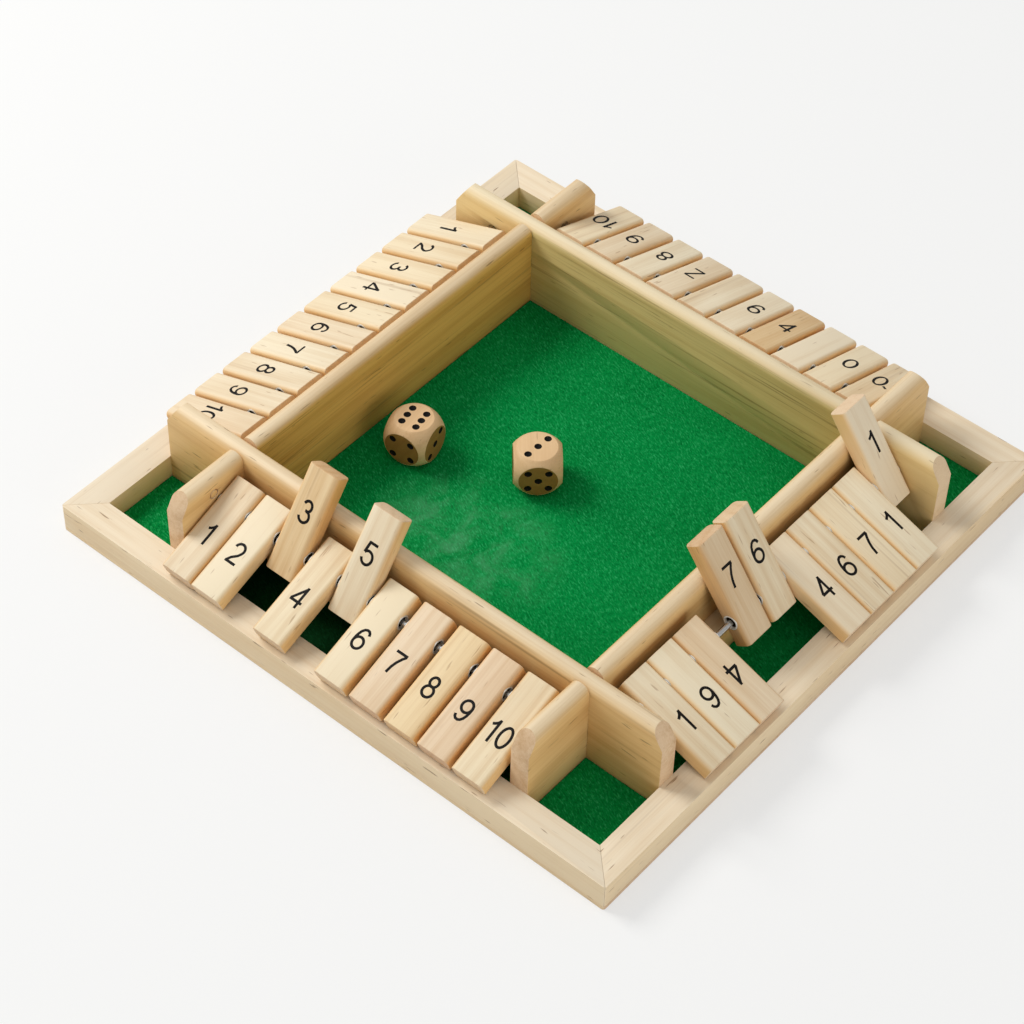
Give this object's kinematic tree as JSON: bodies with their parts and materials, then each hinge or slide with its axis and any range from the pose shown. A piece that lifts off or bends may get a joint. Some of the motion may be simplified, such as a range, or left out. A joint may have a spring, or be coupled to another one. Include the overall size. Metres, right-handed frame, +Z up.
{
  "type": "shut the box game",
  "caption": "Square wooden shut the box game for four players: a felted dice well inside a lapped wall lattice, with a row of hinged number tiles on each side and loose dice.",
  "frame": {"origin": "centre of the underside of the base panel, on the table", "axes": "+Z up; -Y towards the front row, +X towards the right row; each row lies along one side of the square"},
  "size_m": [0.28, 0.28, 0.061],
  "materials": {
    "tile_wood": "satin, clear lacquer",
    "wall_wood": "satin, clear lacquer",
    "frame_wood": "satin, clear lacquer",
    "batten_wood": "sanded, bare",
    "felt": "short fibre felt",
    "die_wood": "waxed, with black painted pips",
    "rod_steel": "polished"
  },
  "bodies": {
    "box": {"base_panel": "frame_wood", "felt_tray": "felt", "felt_corners": "felt", "felt_channels": "felt", "hinge_rods": "rod_steel", "rail_front": "frame_wood", "rail_right": "frame_wood", "rail_back": "frame_wood", "rail_left": "frame_wood", "wall_front": "wall_wood", "wall_right": "wall_wood", "wall_back": "wall_wood", "wall_left": "wall_wood", "batten_front": "batten_wood", "batten_right": "batten_wood", "batten_back": "batten_wood", "batten_left": "batten_wood"},
    "tile_front_1": {"tile_front_1": "tile_wood"},
    "tile_front_2": {"tile_front_2": "tile_wood"},
    "tile_front_3": {"tile_front_3": "tile_wood"},
    "tile_front_4": {"tile_front_4": "tile_wood"},
    "tile_front_5": {"tile_front_5": "tile_wood"},
    "tile_front_6": {"tile_front_6": "tile_wood"},
    "tile_front_7": {"tile_front_7": "tile_wood"},
    "tile_front_8": {"tile_front_8": "tile_wood"},
    "tile_front_9": {"tile_front_9": "tile_wood"},
    "tile_front_10": {"tile_front_10": "tile_wood"},
    "tile_right_1": {"tile_right_1": "tile_wood"},
    "tile_right_2": {"tile_right_2": "tile_wood"},
    "tile_right_3": {"tile_right_3": "tile_wood"},
    "tile_right_4": {"tile_right_4": "tile_wood"},
    "tile_right_5": {"tile_right_5": "tile_wood"},
    "tile_right_6": {"tile_right_6": "tile_wood"},
    "tile_right_7": {"tile_right_7": "tile_wood"},
    "tile_right_8": {"tile_right_8": "tile_wood"},
    "tile_right_9": {"tile_right_9": "tile_wood"},
    "tile_right_10": {"tile_right_10": "tile_wood"},
    "tile_back_1": {"tile_back_1": "tile_wood"},
    "tile_back_2": {"tile_back_2": "tile_wood"},
    "tile_back_3": {"tile_back_3": "tile_wood"},
    "tile_back_4": {"tile_back_4": "tile_wood"},
    "tile_back_5": {"tile_back_5": "tile_wood"},
    "tile_back_6": {"tile_back_6": "tile_wood"},
    "tile_back_7": {"tile_back_7": "tile_wood"},
    "tile_back_8": {"tile_back_8": "tile_wood"},
    "tile_back_9": {"tile_back_9": "tile_wood"},
    "tile_back_10": {"tile_back_10": "tile_wood"},
    "tile_left_1": {"tile_left_1": "tile_wood"},
    "tile_left_2": {"tile_left_2": "tile_wood"},
    "tile_left_3": {"tile_left_3": "tile_wood"},
    "tile_left_4": {"tile_left_4": "tile_wood"},
    "tile_left_5": {"tile_left_5": "tile_wood"},
    "tile_left_6": {"tile_left_6": "tile_wood"},
    "tile_left_7": {"tile_left_7": "tile_wood"},
    "tile_left_8": {"tile_left_8": "tile_wood"},
    "tile_left_9": {"tile_left_9": "tile_wood"},
    "tile_left_10": {"tile_left_10": "tile_wood"},
    "die_a": {"die_a": "die_wood"},
    "die_b": {"die_b": "die_wood"}
  },
  "joints": [
    {"name": "tile_front_1_flip", "type": "hinge", "parent": "box", "child": "tile_front_1", "pos_m": [-0.0757, -0.1055, 0.0302], "axis": [-1, 0, 0], "range_deg": [0, 146.76]},
    {"name": "tile_front_2_flip", "type": "hinge", "parent": "box", "child": "tile_front_2", "pos_m": [-0.0601, -0.1055, 0.0302], "axis": [-1, 0, 0], "range_deg": [0, 146.76]},
    {"name": "tile_front_3_flip", "type": "hinge", "parent": "box", "child": "tile_front_3", "pos_m": [-0.0437, -0.1055, 0.0302], "axis": [-1, 0, 0], "range_deg": [-146.76, 0]},
    {"name": "tile_front_4_flip", "type": "hinge", "parent": "box", "child": "tile_front_4", "pos_m": [-0.0271, -0.1055, 0.0302], "axis": [-1, 0, 0], "range_deg": [0, 146.76]},
    {"name": "tile_front_5_flip", "type": "hinge", "parent": "box", "child": "tile_front_5", "pos_m": [-0.0111, -0.1055, 0.0302], "axis": [-1, 0, 0], "range_deg": [-146.76, 0]},
    {"name": "tile_front_6_flip", "type": "hinge", "parent": "box", "child": "tile_front_6", "pos_m": [0.0047, -0.1055, 0.0302], "axis": [-1, 0, 0], "range_deg": [0, 146.76]},
    {"name": "tile_front_7_flip", "type": "hinge", "parent": "box", "child": "tile_front_7", "pos_m": [0.0225, -0.1055, 0.0302], "axis": [-1, 0, 0], "range_deg": [0, 146.76]},
    {"name": "tile_front_8_flip", "type": "hinge", "parent": "box", "child": "tile_front_8", "pos_m": [0.0401, -0.1055, 0.0302], "axis": [-1, 0, 0], "range_deg": [0, 146.76]},
    {"name": "tile_front_9_flip", "type": "hinge", "parent": "box", "child": "tile_front_9", "pos_m": [0.0567, -0.1055, 0.0302], "axis": [-1, 0, 0], "range_deg": [0, 146.76]},
    {"name": "tile_front_10_flip", "type": "hinge", "parent": "box", "child": "tile_front_10", "pos_m": [0.0737, -0.1055, 0.0302], "axis": [-1, 0, 0], "range_deg": [0, 146.76]},
    {"name": "tile_right_1_flip", "type": "hinge", "parent": "box", "child": "tile_right_1", "pos_m": [0.1055, -0.0712, 0.0302], "axis": [0, -1, 0], "range_deg": [0, 146.76]},
    {"name": "tile_right_2_flip", "type": "hinge", "parent": "box", "child": "tile_right_2", "pos_m": [0.1055, -0.056, 0.0302], "axis": [0, -1, 0], "range_deg": [0, 146.76]},
    {"name": "tile_right_3_flip", "type": "hinge", "parent": "box", "child": "tile_right_3", "pos_m": [0.1055, -0.0408, 0.0302], "axis": [0, -1, 0], "range_deg": [0, 146.76]},
    {"name": "tile_right_4_flip", "type": "hinge", "parent": "box", "child": "tile_right_4", "pos_m": [0.1055, -0.0161, 0.0302], "axis": [0, -1, 0], "range_deg": [-146.76, 0]},
    {"name": "tile_right_5_flip", "type": "hinge", "parent": "box", "child": "tile_right_5", "pos_m": [0.1055, -0.0001, 0.0302], "axis": [0, -1, 0], "range_deg": [-146.76, 0]},
    {"name": "tile_right_6_flip", "type": "hinge", "parent": "box", "child": "tile_right_6", "pos_m": [0.1055, 0.0151, 0.0302], "axis": [0, -1, 0], "range_deg": [0, 146.76]},
    {"name": "tile_right_7_flip", "type": "hinge", "parent": "box", "child": "tile_right_7", "pos_m": [0.1055, 0.0303, 0.0302], "axis": [0, -1, 0], "range_deg": [0, 146.76]},
    {"name": "tile_right_8_flip", "type": "hinge", "parent": "box", "child": "tile_right_8", "pos_m": [0.1055, 0.0455, 0.0302], "axis": [0, -1, 0], "range_deg": [0, 146.76]},
    {"name": "tile_right_9_flip", "type": "hinge", "parent": "box", "child": "tile_right_9", "pos_m": [0.1055, 0.0607, 0.0302], "axis": [0, -1, 0], "range_deg": [0, 146.76]},
    {"name": "tile_right_10_flip", "type": "hinge", "parent": "box", "child": "tile_right_10", "pos_m": [0.1055, 0.0759, 0.0302], "axis": [0, -1, 0], "range_deg": [-146.76, 0]},
    {"name": "tile_back_1_flip", "type": "hinge", "parent": "box", "child": "tile_back_1", "pos_m": [0.07352, 0.1055, 0.0302], "axis": [1, 0, 0], "range_deg": [0, 146.76]},
    {"name": "tile_back_2_flip", "type": "hinge", "parent": "box", "child": "tile_back_2", "pos_m": [0.05718, 0.1055, 0.0302], "axis": [1, 0, 0], "range_deg": [0, 146.76]},
    {"name": "tile_back_3_flip", "type": "hinge", "parent": "box", "child": "tile_back_3", "pos_m": [0.04085, 0.1055, 0.0302], "axis": [1, 0, 0], "range_deg": [0, 146.76]},
    {"name": "tile_back_4_flip", "type": "hinge", "parent": "box", "child": "tile_back_4", "pos_m": [0.02451, 0.1055, 0.0302], "axis": [1, 0, 0], "range_deg": [0, 146.76]},
    {"name": "tile_back_5_flip", "type": "hinge", "parent": "box", "child": "tile_back_5", "pos_m": [0.00817, 0.1055, 0.0302], "axis": [1, 0, 0], "range_deg": [0, 146.76]},
    {"name": "tile_back_6_flip", "type": "hinge", "parent": "box", "child": "tile_back_6", "pos_m": [-0.00817, 0.1055, 0.0302], "axis": [1, 0, 0], "range_deg": [0, 146.76]},
    {"name": "tile_back_7_flip", "type": "hinge", "parent": "box", "child": "tile_back_7", "pos_m": [-0.02451, 0.1055, 0.0302], "axis": [1, 0, 0], "range_deg": [0, 146.76]},
    {"name": "tile_back_8_flip", "type": "hinge", "parent": "box", "child": "tile_back_8", "pos_m": [-0.04085, 0.1055, 0.0302], "axis": [1, 0, 0], "range_deg": [0, 146.76]},
    {"name": "tile_back_9_flip", "type": "hinge", "parent": "box", "child": "tile_back_9", "pos_m": [-0.05718, 0.1055, 0.0302], "axis": [1, 0, 0], "range_deg": [0, 146.76]},
    {"name": "tile_back_10_flip", "type": "hinge", "parent": "box", "child": "tile_back_10", "pos_m": [-0.07352, 0.1055, 0.0302], "axis": [1, 0, 0], "range_deg": [0, 146.76]},
    {"name": "tile_left_1_flip", "type": "hinge", "parent": "box", "child": "tile_left_1", "pos_m": [-0.1055, 0.07352, 0.0302], "axis": [0, 1, 0], "range_deg": [0, 146.76]},
    {"name": "tile_left_2_flip", "type": "hinge", "parent": "box", "child": "tile_left_2", "pos_m": [-0.1055, 0.05718, 0.0302], "axis": [0, 1, 0], "range_deg": [0, 146.76]},
    {"name": "tile_left_3_flip", "type": "hinge", "parent": "box", "child": "tile_left_3", "pos_m": [-0.1055, 0.04085, 0.0302], "axis": [0, 1, 0], "range_deg": [0, 146.76]},
    {"name": "tile_left_4_flip", "type": "hinge", "parent": "box", "child": "tile_left_4", "pos_m": [-0.1055, 0.02451, 0.0302], "axis": [0, 1, 0], "range_deg": [0, 146.76]},
    {"name": "tile_left_5_flip", "type": "hinge", "parent": "box", "child": "tile_left_5", "pos_m": [-0.1055, 0.00817, 0.0302], "axis": [0, 1, 0], "range_deg": [0, 146.76]},
    {"name": "tile_left_6_flip", "type": "hinge", "parent": "box", "child": "tile_left_6", "pos_m": [-0.1055, -0.00817, 0.0302], "axis": [0, 1, 0], "range_deg": [0, 146.76]},
    {"name": "tile_left_7_flip", "type": "hinge", "parent": "box", "child": "tile_left_7", "pos_m": [-0.1055, -0.02451, 0.0302], "axis": [0, 1, 0], "range_deg": [0, 146.76]},
    {"name": "tile_left_8_flip", "type": "hinge", "parent": "box", "child": "tile_left_8", "pos_m": [-0.1055, -0.04085, 0.0302], "axis": [0, 1, 0], "range_deg": [0, 146.76]},
    {"name": "tile_left_9_flip", "type": "hinge", "parent": "box", "child": "tile_left_9", "pos_m": [-0.1055, -0.05718, 0.0302], "axis": [0, 1, 0], "range_deg": [0, 146.76]},
    {"name": "tile_left_10_flip", "type": "hinge", "parent": "box", "child": "tile_left_10", "pos_m": [-0.1055, -0.07352, 0.0302], "axis": [0, 1, 0], "range_deg": [0, 146.76]},
    {"name": "die_a_lift", "type": "slide", "parent": "box", "child": "die_a", "axis": [0, 0, 1], "range_m": [0, 0.065]},
    {"name": "die_b_lift", "type": "slide", "parent": "box", "child": "die_b", "axis": [0, 0, 1], "range_m": [0, 0.065]}
  ]
}
